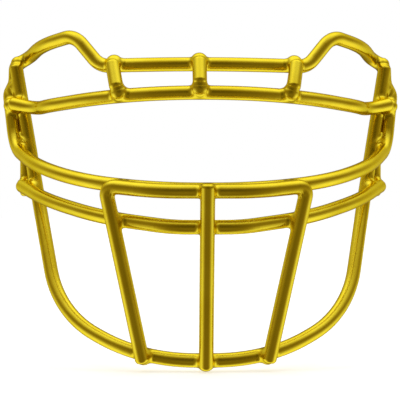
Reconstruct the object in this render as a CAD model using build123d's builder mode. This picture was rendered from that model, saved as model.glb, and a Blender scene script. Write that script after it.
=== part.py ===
from build123d import *
import math
import os

os.makedirs("parts", exist_ok=True)

# Football helmet facemask: a welded cage of round steel wires under one coloured coat.
# Millimetres. X runs across the face, -Y is ahead of it, +Z is up, and X = 0 is the plane of symmetry.
# Places are given as across, ahead and up, and only the right half of each wire is written.

# Wire and coat
wire_diameter = 6.35
coat_thickness = 0.65
weld_gap = 0.3           # left between the steel of two crossing wires, and filled by the weld
weld_radius = 2.4        # the fused spot at a crossing
web_radius = 4.8         # the coat gathers in each crossing, out to this far from its middle
side_web_radius = 4.2    # and this far where two wires lie side by side
side_gap = 0.4           # between the coats of two leaning wires, on the level

wire_radius = wire_diameter / 2
coat_radius = wire_radius + coat_thickness
lay = wire_diameter + weld_gap
side_lay = 2 * coat_radius + side_gap

# From the measuring planes to the middle of the finished cage
middle_ahead = 41.63
middle_up = 1.03

# Halvings of a path in finding a place on it, and the share of a gap at which its weld spot lies
halvings = 40
meeting_share = 0.5

# Share of a run that a bend may take at either end, where the bend is as wide as its runs allow
ease_share = 0.48

# Jaw wire: a strut down each side, a wide bend at the jaw and a shallow chin
strut_top_across = 106.8
strut_top_ahead = -4.0
strut_top_up = 78.0
strut_foot_across = 92.7
strut_foot_ahead = 7.0
strut_foot_up = 0.0
strut_foot_bend = 70.0
jaw_across = 79.3
jaw_ahead = 38.0
jaw_up = -62.1
jaw_bend = 62.0
chin_across = 33.0
chin_ahead = 65.6
chin_up = -84.7

# Top wire: the brow, a hump each side and a corner behind the strut
brow_flat_across = 15.2
brow_ahead = 52.0
brow_up = 73.0
brow_side_across = 43.4
brow_side_ahead = 45.4
hump_foot_across = 56.75
hump_foot_ahead = 40.0
hump_peak_across = 70.9
hump_peak_ahead = 34.5
hump_peak_up = 90.4
hump_shoulder_across = 90.0
hump_shoulder_ahead = 17.0
hump_shoulder_up = 86.8
hump_tail_across = 99.0
hump_tail_ahead = -8.0
hump_tail_up = 82.6
hump_bend = 12.0
corner_bend = 8.0
corner_angle = -83.0     # round the strut, from straight out towards ahead
joint_up = 72.0          # where the top wire and the eye wire meet end to end

# Eye wire: it jogs out beside the strut, drops as the outer bar and bends forward under the eyes
jog_angle = -70.0
jog_up = 67.9
jog_weld_up = 65.2       # on the strut, beside the bend of the jog
outer_angle = -32.0
outer_top_up = 60.9
outer_bend = 8.0
eye_corner_up = 29.5
eye_corner_angle = -6.0
eye_corner_spread = 0.2
eye_bend = 20.0
eye_side_across = 91.5
eye_side_ahead = 38.0
eye_cheek_across = 64.0
eye_cheek_ahead = 66.0
eye_flat_across = 24.0
eye_ahead = 80.0
eye_up = 5.3
eye_rise = 0.31          # millimetres up for each one back

# Lower brow wire: it crosses in front of the strut and ends on the outer bar
low_brow_flat_across = 19.1
low_brow_ahead = 62.0
low_brow_up = 57.0
low_brow_mid_across = 55.4
low_brow_mid_ahead = 49.9
low_brow_side_across = 86.0
low_brow_side_ahead = 27.0
low_brow_fall = 0.14     # millimetres down for each one back
low_brow_seat_up = 51.5
low_brow_seat_angle = 64.0
low_brow_run_in = 13.0
low_brow_run_out = 4.4
low_brow_end_rise = 3.6
low_brow_bend = 36.0

# Mouth bow: its top lies on the front of the eye wire and its two legs reach the chin
bow_corner_seat_across = 49.8
bow_drop = 0.8
bow_gap = 0.15           # between its coat and the eye wire's, on the level
bow_bend = 4.4
leg_seat_across = 32.2
leg_over = 0.3
bow_weld_across = 16.0
bow_corner_weld_across = 42.0

# Centre bar, on the front of the bow, the lower eye wire and the chin
bar_top_over = 0.3
bar_end_over = 0.6

# Lower eye wire, behind the legs and the centre bar, out past the strut to the side post
low_eye_up = -14.0
low_eye_flat_across = 18.0
low_eye_leg_up = -10.5
low_eye_leg_angle = -116.0
low_eye_cheek_share = 1.3
low_eye_side_across = 86.0
low_eye_side_ahead = 34.0
low_eye_rise = 0.28
low_eye_seat_up = 7.0
low_eye_seat_angle = 29.0
low_eye_run_out = 7.2

# Side post, behind the strut and the end of the lower eye wire
post_top_up = 28.0
post_angle = -68.0       # round the strut, from straight out towards ahead
post_length = 25.8

# Brow ribs, on the front of both brow wires
rib_top_seat_across = 48.0
rib_foot_seat_across = 44.9
rib_top_over = -1.4
rib_foot_over = -0.4
centre_rib_left = 3.0     # the centre rib stands this far left of the middle

# The ground ends of the wires, and of the coat over them
core_end_round = 1.2
coat_end_round = 2.2


def place(across, ahead, up):
    """A place given from the measuring planes, in the part's own frame."""
    return Vector(across, middle_ahead - ahead, up - middle_up)


def beside(point, distance, angle):
    """The place at a distance from a point, turned in a level plane from straight out towards ahead."""
    turn = math.radians(angle)
    return point + Vector(distance * math.cos(turn), -distance * math.sin(turn), 0)


def along(start, end, share):
    return start + (end - start) * share


def push(start, end, distance):
    """The place a distance past end, on the line from start."""
    return end + (end - start).normalized() * distance


def at_up(start, end, up):
    """The place on the line from start to end that is at a height."""
    level = up - middle_up
    return along(start, end, (level - start.Z) / (end.Z - start.Z))


def route(points, radii):
    """The centre line of a wire, or of its right half."""
    with BuildLine() as line:
        if radii:
            FilletPolyline(*points, radius=radii)
        else:
            Line(*points)
    return line.wire()


def reached(path, is_short):
    """The place on a path, and its heading, where is_short stops being true, by halving."""
    low, high = 0.0, 1.0
    for _ in range(halvings):
        middle = (low + high) / 2
        if is_short(path @ middle):
            low = middle
        else:
            high = middle
    return path @ low, path % low


def point_at(path, across):
    """The place on a right half path at a distance from the middle plane, and its heading."""
    return reached(path, lambda point: point.X < across)


def bends(points, wanted):
    """A radius for each inner point: the wanted one, or for None as wide as its runs allow."""
    runs = [(b - a).length for a, b in zip(points, points[1:])]
    if points[0].X == 0:
        runs[0] = 2 * runs[0]
    radii = []
    for index, radius in enumerate(wanted):
        before = points[index + 1] - points[index]
        after = points[index + 2] - points[index + 1]
        half_turn = math.radians(before.get_angle(after)) / 2
        widest = ease_share * min(runs[index], runs[index + 1]) / math.tan(half_turn)
        radii.append(widest if radius is None else min(radius, widest))
    return radii


# Jaw wire
strut_top = place(strut_top_across, strut_top_ahead, strut_top_up)
strut_foot = place(strut_foot_across, strut_foot_ahead, strut_foot_up)
jaw_points = [
    place(0, chin_ahead, chin_up),
    place(chin_across, chin_ahead, chin_up),
    place(jaw_across, jaw_ahead, jaw_up),
    strut_foot,
    strut_top,
]
jaw_radii = bends(jaw_points, [None, jaw_bend, strut_foot_bend])
jaw_path = route(jaw_points, jaw_radii)


def strut_at(up):
    """The place on the strut that is at a height."""
    point, _ = reached(jaw_path, lambda point: point.Z < up - middle_up)
    return point


# Top wire
corner = beside(strut_top, side_lay, corner_angle)
jog = beside(strut_at(jog_up), side_lay, jog_angle)
joint = at_up(corner, jog, joint_up)
top_points = [
    place(0, brow_ahead, brow_up),
    place(brow_flat_across, brow_ahead, brow_up),
    place(brow_side_across, brow_side_ahead, brow_up),
    place(hump_foot_across, hump_foot_ahead, brow_up),
    place(hump_peak_across, hump_peak_ahead, hump_peak_up),
    place(hump_shoulder_across, hump_shoulder_ahead, hump_shoulder_up),
    place(hump_tail_across, hump_tail_ahead, hump_tail_up),
    corner,
    joint,
]
top_radii = bends(top_points, [None, None, hump_bend, hump_bend, None, None, corner_bend])


# Eye wire
def eye_place(across, ahead):
    return place(across, ahead, eye_up + eye_rise * (eye_ahead - ahead))


outer_top = beside(strut_at(outer_top_up), side_lay, outer_angle)
eye_corner = beside(strut_at(eye_corner_up), side_lay + eye_corner_spread, eye_corner_angle)
eye_points = [
    eye_place(0, eye_ahead),
    eye_place(eye_flat_across, eye_ahead),
    eye_place(eye_cheek_across, eye_cheek_ahead),
    eye_place(eye_side_across, eye_side_ahead),
    eye_corner,
    outer_top,
    jog,
    joint,
]
eye_radii = bends(eye_points, [None, None, None, eye_bend, outer_bend, outer_bend])


# Lower brow wire
def low_brow_place(across, ahead):
    return place(across, ahead, low_brow_up - low_brow_fall * (low_brow_ahead - ahead))


low_brow_seat = beside(strut_at(low_brow_seat_up), lay, low_brow_seat_angle)
low_brow_points = [
    low_brow_place(0, low_brow_ahead),
    low_brow_place(low_brow_flat_across, low_brow_ahead),
    low_brow_place(low_brow_mid_across, low_brow_mid_ahead),
    low_brow_place(low_brow_side_across, low_brow_side_ahead),
    beside(low_brow_seat, low_brow_run_in, low_brow_seat_angle + 90),
    beside(low_brow_seat, low_brow_run_out, low_brow_seat_angle - 90) + Vector(0, 0, low_brow_end_rise),
]
low_brow_radii = bends(low_brow_points, [None, None, None, low_brow_bend])


def in_front(path, across, distance):
    """The place of a wire that lies on the front of a path there."""
    point, heading = point_at(path, across)
    level = Vector(heading.X, heading.Y, 0).normalized()
    return point + Vector(level.Y, -level.X, 0) * distance


def outside(before, corner, after, distance):
    """The corner of a route that runs level beside another, a distance ahead of it."""
    first = Vector((corner - before).X, (corner - before).Y, 0).normalized()
    second = Vector((after - corner).X, (after - corner).Y, 0).normalized()
    normals = Vector(first.Y + second.Y, -first.X - second.X, 0)
    return corner + normals * (distance / (1 + first.dot(second)))


top_path = route(top_points, top_radii)
eye_path = route(eye_points, eye_radii)
low_brow_path = route(low_brow_points, low_brow_radii)

# Mouth bow
fall = Vector(0, 0, -bow_drop)
bow_lay = 2 * coat_radius + bow_gap
bow_corner = in_front(eye_path, bow_corner_seat_across, bow_lay) + fall
leg_seat = in_front(jaw_path, leg_seat_across, lay)
bow_points = [
    in_front(eye_path, 0, bow_lay) + fall,
    outside(eye_points[0], eye_points[1], eye_points[2], bow_lay) + fall,
    bow_corner,
    push(bow_corner, leg_seat, coat_radius + leg_over),
]
bow_radii = bends(bow_points, [eye_radii[0] + bow_lay, bow_bend])
bow_path = route(bow_points, bow_radii)

# Centre bar
bar_top_seat = in_front(bow_path, 0, lay)
bar_chin_seat = in_front(jaw_path, 0, lay)
bar_points = [
    push(bar_chin_seat, bar_top_seat, coat_radius + bar_top_over),
    push(bar_top_seat, bar_chin_seat, coat_radius + bar_end_over),
]
bar_path = route(bar_points, None)

# Lower eye wire
low_eye_front = at_up(*bar_points, low_eye_up) + Vector(0, lay, 0)


def low_eye_place(point):
    """The point moved up or down into the plane of the lower eye wire."""
    return Vector(point.X, point.Y, low_eye_front.Z + low_eye_rise * (point.Y - low_eye_front.Y))


low_eye_flat = low_eye_front + Vector(low_eye_flat_across, 0, 0)
low_eye_leg_seat = beside(at_up(bow_corner, leg_seat, low_eye_leg_up), lay, low_eye_leg_angle)
low_eye_side = place(low_eye_side_across, low_eye_side_ahead, 0)
low_eye_seat = beside(strut_at(low_eye_seat_up), lay, low_eye_seat_angle)
low_eye_points = [
    low_eye_front,
    low_eye_flat,
    low_eye_place(along(low_eye_flat, low_eye_leg_seat, low_eye_cheek_share)),
    low_eye_place(low_eye_side),
    low_eye_place(push(low_eye_side, low_eye_seat, low_eye_run_out)),
]
low_eye_radii = bends(low_eye_points, [None, None, None])
low_eye_path = route(low_eye_points, low_eye_radii)

# Side post
post_top = beside(strut_at(post_top_up), wire_diameter + 2 * weld_gap, post_angle)
post_points = [post_top, post_top - Vector(0, 0, post_length)]
post_path = route(post_points, None)


# Brow ribs
def rib_places(top_across, foot_across):
    """The ends of a rib, which leans back and lies on the front of both brow wires."""
    top, heading = point_at(top_path, top_across)
    foot, _ = point_at(low_brow_path, foot_across)
    off = heading.cross(top - foot).normalized() * lay
    return [push(foot, top, rib_top_over) + off, push(top, foot, rib_foot_over) + off]


rib_points = rib_places(rib_top_seat_across, rib_foot_seat_across)
centre_rib_points = rib_places(centre_rib_left, centre_rib_left)
rib_path = route(rib_points, None)
centre_rib_path = route(centre_rib_points, None)


# The pieces
def mirrored(points):
    return [Vector(-point.X, point.Y, point.Z) for point in points]


def whole(points, radii):
    """The route of a wire from its left end to its right end."""
    return mirrored(reversed(points[1:])) + points[1:], radii[::-1] + radii


def drawn_back(points):
    """The route of the steel, which stops short of the coat at both of its ends."""
    first = push(points[1], points[0], -coat_thickness)
    last = push(points[-2], points[-1], -coat_thickness)
    return [first] + points[1:-1] + [last]


jaw_whole, jaw_whole_radii = whole(jaw_points, jaw_radii)
top_whole, top_whole_radii = whole(top_points, top_radii)
eye_whole, eye_whole_radii = whole(eye_points, eye_radii)
low_brow_whole, low_brow_whole_radii = whole(low_brow_points, low_brow_radii)
bow_whole, bow_whole_radii = whole(bow_points, bow_radii)
low_eye_whole, low_eye_whole_radii = whole(low_eye_points, low_eye_radii)

jaw_coat_path = route(jaw_whole, jaw_whole_radii)
jaw_core_path = route(drawn_back(jaw_whole), jaw_whole_radii)
top_whole_path = route(top_whole, top_whole_radii)
eye_whole_path = route(eye_whole, eye_whole_radii)
low_brow_coat_path = route(low_brow_whole, low_brow_whole_radii)
low_brow_core_path = route(drawn_back(low_brow_whole), low_brow_whole_radii)
bow_coat_path = route(bow_whole, bow_whole_radii)
bow_core_path = route(drawn_back(bow_whole), bow_whole_radii)
low_eye_coat_path = route(low_eye_whole, low_eye_whole_radii)
low_eye_core_path = route(drawn_back(low_eye_whole), low_eye_whole_radii)
bar_core_path = route(drawn_back(bar_points), None)
centre_rib_coat_path = route(mirrored(centre_rib_points), None)
centre_rib_core_path = route(drawn_back(mirrored(centre_rib_points)), None)
rib_core_path = route(drawn_back(rib_points), None)
post_core_path = route(drawn_back(post_points), None)


def sweep_round(path, radius, end_round):
    """Sweeps a round section along a path, and rounds its two ends unless they butt against others."""
    with BuildSketch(Plane(origin=path @ 0, z_dir=path % 0)) as section:
        Circle(radius)
    sweep(section.sketch, path=path)
    if end_round:
        rims = edges().filter_by(GeomType.CIRCLE)
        ends = [rims.sort_by_distance(path @ end)[0] for end in (0, 1)]
        fillet(ends, end_round)


def spots(planes, mode=Mode.ADD):
    """Round spots from wire to wire, each standing square to both."""
    with Locations(*planes):
        Cylinder(weld_radius, wire_diameter, mode=mode)


def webs(planes, radius):
    """Balls of coat in the crotches of crossings, with their poles inside the wires."""
    with Locations(*planes):
        Sphere(radius)


def cut_away(*pieces):
    """Takes finished pieces out of the one being built, one after another."""
    for piece in pieces:
        add(piece.part, mode=Mode.SUBTRACT)


def finish(piece, name):
    """Names a finished piece and writes it."""
    piece.part.label = name
    export_step(piece.part, f"parts/{name}.step")
    print(name, "solids", len(piece.part.solids()), "volume", round(piece.part.volume, 1))


def compare(piece, path):
    """Prints a core's volume beside its section times its length."""
    expected = math.pi * wire_radius**2 * path.length
    print("  swept", round(piece.part.volume, 1), "section by length", round(expected, 1))


# Steel cores
with BuildPart() as jaw_wire_core:
    sweep_round(jaw_core_path, wire_radius, core_end_round)
finish(jaw_wire_core, "jaw_wire_core")
compare(jaw_wire_core, jaw_core_path)

with BuildPart() as top_wire_core:
    sweep_round(top_whole_path, wire_radius, None)
finish(top_wire_core, "top_wire_core")
compare(top_wire_core, top_whole_path)

with BuildPart() as eye_wire_core:
    sweep_round(eye_whole_path, wire_radius, None)
finish(eye_wire_core, "eye_wire_core")
compare(eye_wire_core, eye_whole_path)

with BuildPart() as lower_brow_wire_core:
    sweep_round(low_brow_core_path, wire_radius, core_end_round)
finish(lower_brow_wire_core, "lower_brow_wire_core")
compare(lower_brow_wire_core, low_brow_core_path)

with BuildPart() as lower_eye_wire_core:
    sweep_round(low_eye_core_path, wire_radius, core_end_round)
finish(lower_eye_wire_core, "lower_eye_wire_core")
compare(lower_eye_wire_core, low_eye_core_path)

with BuildPart() as mouth_bow_core:
    sweep_round(bow_core_path, wire_radius, core_end_round)
finish(mouth_bow_core, "mouth_bow_core")
compare(mouth_bow_core, bow_core_path)

with BuildPart() as centre_bar_core:
    sweep_round(bar_core_path, wire_radius, core_end_round)
finish(centre_bar_core, "centre_bar_core")

with BuildPart() as centre_brow_rib_core:
    sweep_round(centre_rib_core_path, wire_radius, core_end_round)
finish(centre_brow_rib_core, "centre_brow_rib_core")

with BuildPart() as right_brow_rib_core:
    sweep_round(rib_core_path, wire_radius, core_end_round)
finish(right_brow_rib_core, "right_brow_rib_core")

with BuildPart() as left_brow_rib_core:
    mirror(right_brow_rib_core.part, about=Plane.YZ)
finish(left_brow_rib_core, "left_brow_rib_core")

with BuildPart() as right_side_post_core:
    sweep_round(post_core_path, wire_radius, core_end_round)
finish(right_side_post_core, "right_side_post_core")

with BuildPart() as left_side_post_core:
    mirror(right_side_post_core.part, about=Plane.YZ)
finish(left_side_post_core, "left_side_post_core")


# Weld spots, each half way between two centre lines where they come closest
def meeting(path, other):
    _, point, opposite = path.distance_to_with_closest_points(other)
    return Plane(origin=along(point, opposite, meeting_share), z_dir=opposite - point)


def meeting_at(path, across, other):
    """The same, beside a chosen place of the first path."""
    point, _ = point_at(path, across)
    return meeting(Vertex(*point), other)


def left_side(planes):
    """The meetings of the right side, carried to the left."""
    centres = mirrored([plane.origin for plane in planes])
    headings = mirrored([plane.z_dir for plane in planes])
    return [Plane(origin=centre, z_dir=heading) for centre, heading in zip(centres, headings)]


def both_sides(planes):
    return planes + left_side(planes)


strut_top_wire = meeting(jaw_path, top_path)
strut_eye_wire = [meeting(Vertex(*strut_at(jog_weld_up)), eye_path), meeting(jaw_path, eye_path)]
strut_low_brow = meeting(jaw_path, low_brow_path)
strut_low_eye = meeting(jaw_path, low_eye_path)
outer_low_brow = meeting(eye_path, low_brow_path)
post_meetings = [meeting(post_path, jaw_path), meeting(post_path, low_eye_path)]
strut_meetings = [strut_top_wire, strut_low_brow, strut_low_eye] + strut_eye_wire
side_meetings = strut_meetings + [outer_low_brow] + post_meetings


def rib_crossings(path):
    """The meetings of the three brow ribs with a wire."""
    return both_sides([meeting(rib_path, path)]) + left_side([meeting(centre_rib_path, path)])


rib_top_meetings = rib_crossings(top_path)
rib_foot_meetings = rib_crossings(low_brow_path)
rib_meetings = rib_top_meetings + rib_foot_meetings
bow_welds_across = [bow_weld_across, bow_corner_weld_across]
bow_meetings = both_sides([meeting_at(eye_path, across, bow_path) for across in bow_welds_across])
bar_bow = meeting(bar_path, bow_path)
bar_low_eye = meeting(bar_path, low_eye_path)
bar_chin = meeting(bar_path, jaw_path)
leg_low_eye = both_sides([meeting(bow_path, low_eye_path)])
leg_chin = both_sides([meeting(bow_path, jaw_path)])

rib_cores = [centre_brow_rib_core, right_brow_rib_core, left_brow_rib_core]
post_cores = [right_side_post_core, left_side_post_core]

with BuildPart() as brow_rib_welds:
    spots(rib_meetings)
    cut_away(top_wire_core, lower_brow_wire_core, *rib_cores)
finish(brow_rib_welds, "brow_rib_welds")

with BuildPart() as right_side_welds:
    spots(side_meetings)
    cut_away(top_wire_core, eye_wire_core, jaw_wire_core)
    cut_away(lower_brow_wire_core, lower_eye_wire_core, right_side_post_core)
finish(right_side_welds, "right_side_welds")

with BuildPart() as left_side_welds:
    mirror(right_side_welds.part, about=Plane.YZ)
finish(left_side_welds, "left_side_welds")

with BuildPart() as mouth_bow_welds:
    spots(bow_meetings + [bar_bow])
    cut_away(eye_wire_core, mouth_bow_core, centre_bar_core)
finish(mouth_bow_welds, "mouth_bow_welds")

with BuildPart() as lower_eye_and_chin_welds:
    spots(leg_low_eye + leg_chin + [bar_low_eye, bar_chin])
    cut_away(jaw_wire_core, lower_eye_wire_core, mouth_bow_core, centre_bar_core)
finish(lower_eye_and_chin_welds, "lower_eye_and_chin_welds")

# Outer forms: each wire's coat and steel together, with the webs that it gathers at its crossings
with BuildPart() as centre_bar_form:
    sweep_round(bar_path, coat_radius, coat_end_round)

with BuildPart() as mouth_bow_form:
    sweep_round(bow_coat_path, coat_radius, coat_end_round)
    webs([bar_bow], web_radius)

with BuildPart() as centre_rib_form:
    sweep_round(centre_rib_coat_path, coat_radius, coat_end_round)

with BuildPart() as right_rib_form:
    sweep_round(rib_path, coat_radius, coat_end_round)

with BuildPart() as left_rib_form:
    mirror(right_rib_form.part, about=Plane.YZ)

with BuildPart() as low_brow_form:
    sweep_round(low_brow_coat_path, coat_radius, coat_end_round)
    webs(rib_foot_meetings, web_radius)

with BuildPart() as low_eye_form:
    sweep_round(low_eye_coat_path, coat_radius, coat_end_round)
    webs(leg_low_eye + [bar_low_eye], web_radius)

with BuildPart() as eye_form:
    sweep_round(eye_whole_path, coat_radius, None)
    webs(both_sides([outer_low_brow]) + bow_meetings, side_web_radius)

with BuildPart() as jaw_form:
    sweep_round(jaw_coat_path, coat_radius, coat_end_round)
    webs(both_sides([strut_low_brow, strut_low_eye]) + leg_chin + [bar_chin], web_radius)
    webs(both_sides(strut_eye_wire), side_web_radius)

rib_forms = [centre_rib_form, right_rib_form, left_rib_form]

# Coats: at each crossing the wire in front keeps its round form, and the one behind closes up to it
with BuildPart() as centre_bar_coat:
    add(centre_bar_form.part)
    cut_away(centre_bar_core, mouth_bow_core, lower_eye_wire_core, jaw_wire_core)
    spots([bar_bow, bar_low_eye, bar_chin], Mode.SUBTRACT)
finish(centre_bar_coat, "centre_bar_coat")

with BuildPart() as mouth_bow_coat:
    add(mouth_bow_form.part)
    cut_away(mouth_bow_core, lower_eye_wire_core, jaw_wire_core, centre_bar_form)
    spots(bow_meetings + leg_low_eye + leg_chin + [bar_bow], Mode.SUBTRACT)
finish(mouth_bow_coat, "mouth_bow_coat")

with BuildPart() as centre_brow_rib_coat:
    add(centre_rib_form.part)
    cut_away(centre_brow_rib_core, top_wire_core, lower_brow_wire_core)
    spots(rib_meetings, Mode.SUBTRACT)
finish(centre_brow_rib_coat, "centre_brow_rib_coat")

with BuildPart() as right_brow_rib_coat:
    add(right_rib_form.part)
    cut_away(right_brow_rib_core, top_wire_core, lower_brow_wire_core)
    spots(rib_meetings, Mode.SUBTRACT)
finish(right_brow_rib_coat, "right_brow_rib_coat")

with BuildPart() as left_brow_rib_coat:
    mirror(right_brow_rib_coat.part, about=Plane.YZ)
finish(left_brow_rib_coat, "left_brow_rib_coat")

with BuildPart() as lower_brow_wire_coat:
    add(low_brow_form.part)
    cut_away(lower_brow_wire_core, jaw_wire_core, eye_wire_core, *rib_forms)
    spots(rib_meetings + both_sides(side_meetings), Mode.SUBTRACT)
finish(lower_brow_wire_coat, "lower_brow_wire_coat")

with BuildPart() as lower_eye_wire_coat:
    add(low_eye_form.part)
    cut_away(lower_eye_wire_core, jaw_wire_core, *post_cores, centre_bar_form, mouth_bow_form)
    spots(leg_low_eye + [bar_low_eye] + both_sides(side_meetings), Mode.SUBTRACT)
finish(lower_eye_wire_coat, "lower_eye_wire_coat")

with BuildPart() as eye_wire_coat:
    add(eye_form.part)
    cut_away(eye_wire_core, jaw_wire_core, mouth_bow_form, low_brow_form)
    spots(bow_meetings + both_sides(side_meetings), Mode.SUBTRACT)
finish(eye_wire_coat, "eye_wire_coat")

with BuildPart() as jaw_wire_coat:
    add(jaw_form.part)
    cut_away(jaw_wire_core, top_wire_core, *post_cores)
    cut_away(centre_bar_form, mouth_bow_form, low_brow_form, low_eye_form, eye_form)
    spots(leg_chin + [bar_chin] + both_sides(side_meetings), Mode.SUBTRACT)
finish(jaw_wire_coat, "jaw_wire_coat")

with BuildPart() as top_wire_coat:
    sweep_round(top_whole_path, coat_radius, None)
    webs(rib_top_meetings, web_radius)
    webs(both_sides([strut_top_wire]), side_web_radius)
    cut_away(top_wire_core, *rib_forms, jaw_form)
    spots(rib_meetings + both_sides(side_meetings), Mode.SUBTRACT)
finish(top_wire_coat, "top_wire_coat")

with BuildPart() as right_side_post_coat:
    sweep_round(post_path, coat_radius, coat_end_round)
    webs(post_meetings, side_web_radius)
    cut_away(right_side_post_core, jaw_form, low_eye_form)
    spots(side_meetings, Mode.SUBTRACT)
finish(right_side_post_coat, "right_side_post_coat")

with BuildPart() as left_side_post_coat:
    mirror(right_side_post_coat.part, about=Plane.YZ)
finish(left_side_post_coat, "left_side_post_coat")
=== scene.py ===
# %% [markdown]
# # A football helmet facemask
#
# A facemask is a cage of steel wire. The wires are bent cold, welded where they cross and then dipped as
# one, so that a thick glossy coat covers the steel and flows a little way into every crossing. The solid
# wires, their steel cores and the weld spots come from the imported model. This lesson gives them their
# finish, adds the soft fillets of coat at the crossings, and sets up the light and the camera.

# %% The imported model
import math

import bmesh
import bpy
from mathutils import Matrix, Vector


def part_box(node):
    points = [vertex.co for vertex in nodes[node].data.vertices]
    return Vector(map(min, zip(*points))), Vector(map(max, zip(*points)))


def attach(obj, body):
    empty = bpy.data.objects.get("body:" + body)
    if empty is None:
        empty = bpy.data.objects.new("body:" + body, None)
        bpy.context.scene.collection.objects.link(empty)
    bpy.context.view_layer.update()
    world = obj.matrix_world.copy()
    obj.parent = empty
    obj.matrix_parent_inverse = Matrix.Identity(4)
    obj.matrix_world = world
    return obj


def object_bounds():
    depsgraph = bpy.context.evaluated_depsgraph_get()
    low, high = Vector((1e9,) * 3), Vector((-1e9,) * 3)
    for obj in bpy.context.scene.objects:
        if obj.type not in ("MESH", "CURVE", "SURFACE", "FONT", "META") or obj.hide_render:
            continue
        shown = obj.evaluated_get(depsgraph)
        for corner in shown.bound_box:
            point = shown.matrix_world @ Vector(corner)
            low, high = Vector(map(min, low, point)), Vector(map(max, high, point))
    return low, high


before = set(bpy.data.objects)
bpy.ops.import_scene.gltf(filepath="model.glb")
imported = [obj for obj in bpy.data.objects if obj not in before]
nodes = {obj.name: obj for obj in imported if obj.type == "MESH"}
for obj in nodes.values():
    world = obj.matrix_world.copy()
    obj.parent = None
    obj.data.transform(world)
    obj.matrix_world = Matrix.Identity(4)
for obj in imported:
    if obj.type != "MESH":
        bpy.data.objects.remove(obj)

cad_box = [list(corner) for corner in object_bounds()]
coats = sorted(name for name in nodes if name.endswith("_coat"))
cores = sorted(name for name in nodes if name.endswith("_core"))
welds = sorted(name for name in nodes if name.endswith("_welds"))
print("coats", len(coats), "cores", len(cores), "groups of welds", len(welds))

# %% [markdown]
# ## Shader maths that reads like maths
#
# A finish is a small sum of patterns. Adding every Math node by hand hides the sum, so a socket is wrapped
# in a class whose plus, minus and times add the nodes. Anything else, such as a noise or a ramp, comes from
# one method that sets a node up and then fills or links its inputs.

# %% A socket that can be added and multiplied
class Field:
    """A value that varies over a surface, held as an output socket."""

    def __init__(self, shader, socket):
        self.shader = shader
        self.socket = socket

    def maths(self, operation, first, second):
        return self.shader.node("ShaderNodeMath", {"operation": operation}, {0: first, 1: second})

    def __add__(self, other):
        return self.maths("ADD", self, other)

    def __radd__(self, other):
        return self.maths("ADD", other, self)

    def __sub__(self, other):
        return self.maths("SUBTRACT", self, other)

    def __rsub__(self, other):
        return self.maths("SUBTRACT", other, self)

    def __mul__(self, other):
        return self.maths("MULTIPLY", self, other)

    def __rmul__(self, other):
        return self.maths("MULTIPLY", other, self)


# %% A tree that hands out nodes, and a material with one
class Shader:
    """A node tree with one shader that ends it, and the one method that makes its other nodes."""

    def __init__(self, tree, ending):
        self.tree = tree
        self.surface = next(node for node in tree.nodes if node.type == ending)

    def node(self, kind, settings, values, output=0):
        made = self.tree.nodes.new(kind)
        for name, value in settings.items():
            if name == "stops":
                self.set_stops(made.color_ramp, value)
            else:
                setattr(made, name, value)
        for name, value in values.items():
            self.fill(made.inputs[name], value)
        return Field(self, made.outputs[output])

    def set_stops(self, ramp, stops):
        while len(ramp.elements) < len(stops):
            ramp.elements.new(0.5)
        for element, (place, colour) in zip(ramp.elements, stops):
            element.position = place
            element.color = (*colour, 1)

    def fill(self, socket, value):
        if isinstance(value, Field):
            self.tree.links.new(value.socket, socket)
        else:
            socket.default_value = value

    def finish(self, **values):
        for name, value in values.items():
            self.fill(self.surface.inputs[name.replace("_", " ")], value)
        print("finish with", len(self.tree.nodes), "nodes")


def material(name):
    """A new material and its shader."""
    made = bpy.data.materials.new(name)
    made.use_nodes = True
    return made, Shader(made.node_tree, "BSDF_PRINCIPLED")


# %% Patterns that several finishes share
colour_output = 2    # a Mix node has one output for each kind of value, and this is the colour
smooth_detail = 1.0
fine_detail = 3.0
ragged_detail = 4.0


def place_on_object(shader):
    """Where a point lies on the object, in metres. For the world, this is the direction."""
    return shader.node("ShaderNodeTexCoord", {}, {}, "Object")


def cloud(shader, size, detail=2.0):
    """A noise from 0 to 1 whose blotches are about size metres across."""
    place = place_on_object(shader)
    return shader.node("ShaderNodeTexNoise", {}, {"Vector": place, "Scale": 1 / size, "Detail": detail})


def steps(shader, field, low, high):
    """0 where the field is under low, 1 over high, and a smooth rise between them."""
    return shader.node("ShaderNodeMapRange", {"interpolation_type": "SMOOTHSTEP"},
                       {"Value": field, "From Min": low, "From Max": high})


def blend_colours(shader, share, first, second):
    """The first colour where the share is 0, and the second where it is 1."""
    ends = {"Factor": share, "A": (*first, 1), "B": (*second, 1)}
    return shader.node("ShaderNodeMix", {"data_type": "RGBA"}, ends, colour_output)


def bumped(shader, height, depth):
    """A normal that is tilted as if the surface rose by depth metres where height is 1."""
    return shader.node("ShaderNodeBump", {}, {"Height": height, "Distance": depth, "Strength": 1.0})


# %% [markdown]
# ## The yellow coat
#
# The coat is a thick polymer film over the wire: strongly coloured, glossy, and never quite flat, because
# it flows before it sets. In the photograph it is dark where it faces the camera and bright at its edges,
# as a metal is, so most of it is metallic with a thin clear layer on top. A slow cloud shifts the colour
# where the film is thicker, a fine cloud is the ripple like the skin of an orange, and a few dull patches
# break up the gloss where hands have been.

# %% The yellow coat
coat_yellow = (0.88, 0.70, 0.030)
coat_deep = (0.82, 0.63, 0.020)
glancing_yellow = (1.0, 0.93, 0.3, 1.0)

# The size of each pattern's blotches and the depth of the bumps, in metres
thickness_blotch = 0.018
sag_blotch = 0.007
ripple_blotch = 0.0016
touch_blotch = 0.012
bump_depth = 0.00006

# Where each cloud starts to count and where it counts in full, out of 1
thin_film, thick_film = 0.35, 0.7
touch_start, touch_full = 0.56, 0.74

# How metallic and how rough the coat is, how clear its top layer is, and what a touch does to both
coat_metal = 0.93
coat_roughness = 0.2
touch_roughness = 0.05
ripple_roughness = 0.02
clear_layer = 0.12
clear_roughness = 0.08
touched_off = 0.06
sag_share = 0.75     # the rest of the bumps is ripple

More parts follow.
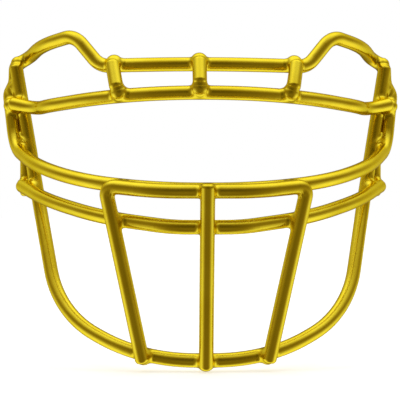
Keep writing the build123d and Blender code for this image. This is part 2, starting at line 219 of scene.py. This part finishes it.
coat_finish, coat = material("glossy_yellow_coat")
thickness = cloud(coat, thickness_blotch)
ripple = cloud(coat, ripple_blotch, smooth_detail)
sag = cloud(coat, sag_blotch, smooth_detail)
touched = steps(coat, cloud(coat, touch_blotch, ragged_detail), touch_start, touch_full)
coat.finish(
    Base_Color=blend_colours(coat, steps(coat, thickness, thin_film, thick_film), coat_yellow, coat_deep),
    Metallic=coat_metal,
    Roughness=coat_roughness + touch_roughness * touched + ripple_roughness * ripple,
    Normal=bumped(coat, sag_share * sag + (1 - sag_share) * ripple, bump_depth),
    Coat_Weight=clear_layer - touched_off * touched,
    Coat_Roughness=clear_roughness,
    Specular_Tint=glancing_yellow,
)

# %% [markdown]
# ## Steel and welds
#
# The steel wire and its weld spots are sealed under the coat and never show, but a piece that is taken out
# on its own still needs its finish: drawn wire with fine streaks, and welds with the blue and brown of
# heat.

# %% Steel and welds
dull_steel = (0.42, 0.43, 0.45)
bright_steel = (0.60, 0.61, 0.63)
streak_width = 0.0006
streak_depth = 0.00002
steel_roughness = 0.28
streak_roughness = 0.2

heat_blue = (0.06, 0.07, 0.12)
heat_brown = (0.20, 0.13, 0.07)
weld_grey = (0.32, 0.31, 0.30)
heat_blotch = 0.002
weld_depth = 0.0001
weld_metal = 0.9
weld_roughness = 0.4
heat_roughness = 0.25

steel_finish, steel = material("drawn_steel")
streaks = cloud(steel, streak_width, fine_detail)
steel.finish(
    Base_Color=blend_colours(steel, streaks, dull_steel, bright_steel),
    Roughness=steel_roughness + streak_roughness * streaks,
    Metallic=1.0,
    Normal=bumped(steel, streaks, streak_depth),
)

weld_finish, weld = material("heat_stained_weld")
heat = cloud(weld, heat_blotch, fine_detail)
heat_colours = {"stops": [(0.3, heat_blue), (0.5, heat_brown), (0.7, weld_grey)]}
weld.finish(
    Base_Color=weld.node("ShaderNodeValToRGB", heat_colours, {"Fac": heat}),
    Roughness=weld_roughness + heat_roughness * heat,
    Metallic=weld_metal,
    Normal=bumped(weld, heat, weld_depth),
)

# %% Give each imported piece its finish
for names, finish in ((coats, coat_finish), (cores, steel_finish), (welds, weld_finish)):
    for name in names:
        mesh = nodes[name].data
        mesh.materials.clear()
        mesh.materials.append(finish)
        for polygon in mesh.polygons:
            polygon.material_index = 0
print("finished", len(coats) + len(cores) + len(welds), "packed pieces")

# %% [markdown]
# ## Soft fillets of coat at the crossings
#
# The wires were dipped together, so the coat runs into the crotch of every crossing and softens it. A bevel
# can't round the line where two separate solids meet. A voxel remesh can: it turns copies of the wires
# around a weld into one closed skin. Smoothing that skin fills its hollows and shrinks its round parts.
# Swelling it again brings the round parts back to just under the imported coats, and only the soft fillets in
# the crotches are left to see.

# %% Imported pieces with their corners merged
same_corner = 0.000001


def merged_copy(name):
    """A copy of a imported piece's mesh, whose loose triangles are joined into one skin."""
    bm = bmesh.new()
    bm.from_mesh(nodes[name].data)
    bmesh.ops.remove_doubles(bm, verts=bm.verts[:], dist=same_corner)
    copy = bpy.data.meshes.new(name + "_merged")
    bm.to_mesh(copy)
    bm.free()
    return copy


merged = {name: merged_copy(name) for name in nodes}
print("merged", len(merged), "copies with", sum(len(copy.vertices) for copy in merged.values()), "corners")


# %% The middle of each weld
def lump_from(start, reached):
    """All corners that edges join to the first one, nearest first, so the order is the same each run."""
    lump = [start]
    reached.add(start)
    for corner in lump:
        for edge in corner.link_edges:
            neighbour = edge.other_vert(corner)
            if neighbour not in reached:
                reached.add(neighbour)
                lump.append(neighbour)
    return lump


def middles(mesh):
    """The middle of each separate lump of a mesh."""
    bm = bmesh.new()
    bm.from_mesh(mesh)
    reached = set()
    lumps = [lump_from(corner, reached) for corner in bm.verts if corner not in reached]
    found = [sum((corner.co for corner in lump), Vector()) / len(lump) for lump in lumps]
    bm.free()
    return found


weld_middles = {name: middles(merged[name]) for name in welds}
print("welds", {name: len(found) for name, found in weld_middles.items()})


# %% The wires around one weld
fillet_reach = 0.0085
boxes = {name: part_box(name) for name in nodes}


def wires_around(middle):
    """Copies of all that lies in a small box around a weld, each cut off at the box and closed."""
    bm = bmesh.new()
    for name, mesh in merged.items():
        low, high = boxes[name]
        if all(a - fillet_reach < m < b + fillet_reach for a, m, b in zip(low, middle, high)):
            bm.from_mesh(mesh)
    for axis in (Vector((1, 0, 0)), Vector((0, 1, 0)), Vector((0, 0, 1))):
        for way in (-1, 1):
            outward = way * axis
            side = middle + way * fillet_reach * axis
            geometry = bm.verts[:] + bm.edges[:] + bm.faces[:]
            bmesh.ops.bisect_plane(bm, geom=geometry, plane_co=side, plane_no=outward, clear_outer=True)
    bmesh.ops.holes_fill(bm, edges=[edge for edge in bm.edges if edge.is_boundary], sides=0)
    cut = bpy.data.meshes.new("wires_around")
    bm.to_mesh(cut)
    bm.free()
    return cut


# %% One skin over them, smoothed
skin_grain = 0.0005
smoothings = 77
smoothing_strength = 0.5
swelling = 0.0002


def fillets_at(name, places):
    """Add one closed skin over the wires around some welds, with soft crotches."""
    bm = bmesh.new()
    for place in places:
        bm.from_mesh(wires_around(place))
    rough_mesh = bpy.data.meshes.new(name + "_rough")
    bm.to_mesh(rough_mesh)
    bm.free()
    rough = bpy.data.objects.new(name + "_rough", rough_mesh)
    bpy.context.scene.collection.objects.link(rough)
    remesh = rough.modifiers.new("one_skin", "REMESH")
    remesh.mode = "VOXEL"
    remesh.voxel_size = skin_grain
    soften = rough.modifiers.new("soften", "SMOOTH")
    soften.factor = smoothing_strength
    soften.iterations = smoothings
    swell = rough.modifiers.new("swell", "DISPLACE")
    swell.strength = swelling
    swell.mid_level = 0
    graph = bpy.context.evaluated_depsgraph_get()
    skin = bpy.data.meshes.new_from_object(rough.evaluated_get(graph))
    bpy.data.objects.remove(rough)
    skin.name = name
    for polygon in skin.polygons:
        polygon.use_smooth = True
    skin.materials.clear()
    skin.materials.append(coat_finish)
    piece = bpy.data.objects.new(name, skin)
    bpy.context.scene.collection.objects.link(piece)
    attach(piece, "root")
    print(name, "faces", len(skin.polygons))


for name, places in weld_middles.items():
    fillets_at(name.replace("welds", "fillets"), places)

# %% [markdown]
# ## A plain studio
#
# The photograph is a cut-out on white. Its wires are bright on top, underneath and at their outer edges,
# and dark where they face the camera: the cage hung in a white tent that was open towards the camera. The
# tent is painted on the world, by direction, as eight pairs of soft round patches above, beside, behind and
# below the cage. The floor is pale and shows a faint shadow, and the wires don't see it, so the lower
# patches shine through it. The dim parts of the tent are warmer than the bright ones, and the camera itself
# sees only white.

# %% The pale floor
floor_gap = 0.0002
floor_height = cad_box[0][2] - floor_gap
floor_reach = 6.0
floor_corners = 96

bm = bmesh.new()
bmesh.ops.create_circle(bm, cap_ends=True, segments=floor_corners, radius=floor_reach)
bmesh.ops.translate(bm, verts=bm.verts[:], vec=(0, 0, floor_height))
floor_mesh = bpy.data.meshes.new("pale_floor")
bm.to_mesh(floor_mesh)
bm.free()
floor = bpy.data.objects.new("pale_floor", floor_mesh)
bpy.context.scene.collection.objects.link(floor)
floor.visible_diffuse = False
floor.visible_glossy = False

paper_blotch = 0.4
paper_grey = (0.80, 0.80, 0.80)
paper_pale = (0.82, 0.82, 0.82)
paper_glow = 0.6
paper_roughness = 0.9

paper_finish, paper = material("pale_paper")
paper.finish(
    Base_Color=blend_colours(paper, cloud(paper, paper_blotch), paper_grey, paper_pale),
    Roughness=paper_roughness,
    Emission_Color=(1, 1, 1, 1),
    Emission_Strength=paper_glow,
)
floor_mesh.materials.append(paper_finish)
print("floor at", round(floor_height, 5))

# %% The white tent
patch_tightness = 7.4
warm = (1.0, 0.76, 0.25)
white = (1.0, 1.0, 1.0)
warm_under = 0.1     # the tent is warm where it glows less than this
white_over = 0.9     # and white where it glows more than this

# The height and the turn from the camera's side, in degrees, and the strength of each pair of patches
patches = [
    (60, 45, 0.44),
    (60, 90, 0.52),
    (60, 135, 0.72),
    (0, 45, 0.16),
    (0, 135, 0.59),
    (-30, 0, 0.10),
    (-30, 90, 1.0),
    (-60, 135, 0.93),
]

world = bpy.data.worlds.new("white_tent")
bpy.context.scene.world = world
world.use_nodes = True
tent = Shader(world.node_tree, "BACKGROUND")
direction = place_on_object(tent)


def patch(height, turn, side):
    """How much a direction looks at one soft round patch of the tent, from 0 to 1."""
    up, around = math.radians(height), math.radians(turn)
    middle = (side * math.sin(around) * math.cos(up), -math.cos(around) * math.cos(up), math.sin(up))
    ends = {0: direction, 1: middle}
    nearness = tent.node("ShaderNodeVectorMath", {"operation": "DOT_PRODUCT"}, ends, "Value")
    return tent.node("ShaderNodeMath", {"operation": "EXPONENT"}, {0: patch_tightness * (nearness - 1.0)})


glow = 0.0
for height, turn, strength in patches:
    for side in (-1, 1):
        glow = glow + strength * patch(height, turn, side)
seen = tent.node("ShaderNodeLightPath", {}, {}, "Is Camera Ray")
warm_to_white = steps(tent, glow, warm_under, white_over) + seen
tent.finish(
    Color=blend_colours(tent, warm_to_white, warm, white),
    Strength=glow * (1.0 - seen) + seen,
)

# %% [markdown]
# ## The camera
#
# The photograph was taken level, from straight ahead and two degrees to one side. The left and right halves
# of the cage give the turn, and the wire is narrower at the back than in front, which gives the distance:
# 0.8 metres.

# %% The camera
camera_turn = 0.03416        # radians
camera_distance = 0.8
measuring_plane = 0.04163    # the distance is measured to this depth
eye_level = -0.00103
film_width = 36              # millimetres, as the focal length is
focal_length = 125.17
sideways_shift = -0.0036
nearest_seen = 0.05

lens = bpy.data.cameras.new("photo_camera")
lens.sensor_width = film_width
lens.lens = focal_length
lens.shift_x = sideways_shift
lens.clip_start = nearest_seen
camera = bpy.data.objects.new("photo_camera", lens)
look = Vector((math.sin(camera_turn), math.cos(camera_turn), 0))
camera.location = Vector((0, measuring_plane, eye_level)) - look * camera_distance
camera.rotation_euler = look.to_track_quat("-Z", "Y").to_euler()
bpy.context.scene.collection.objects.link(camera)
bpy.context.scene.camera = camera
bpy.context.scene.view_settings.view_transform = "Standard"
print("camera at", [round(value, 4) for value in camera.location])
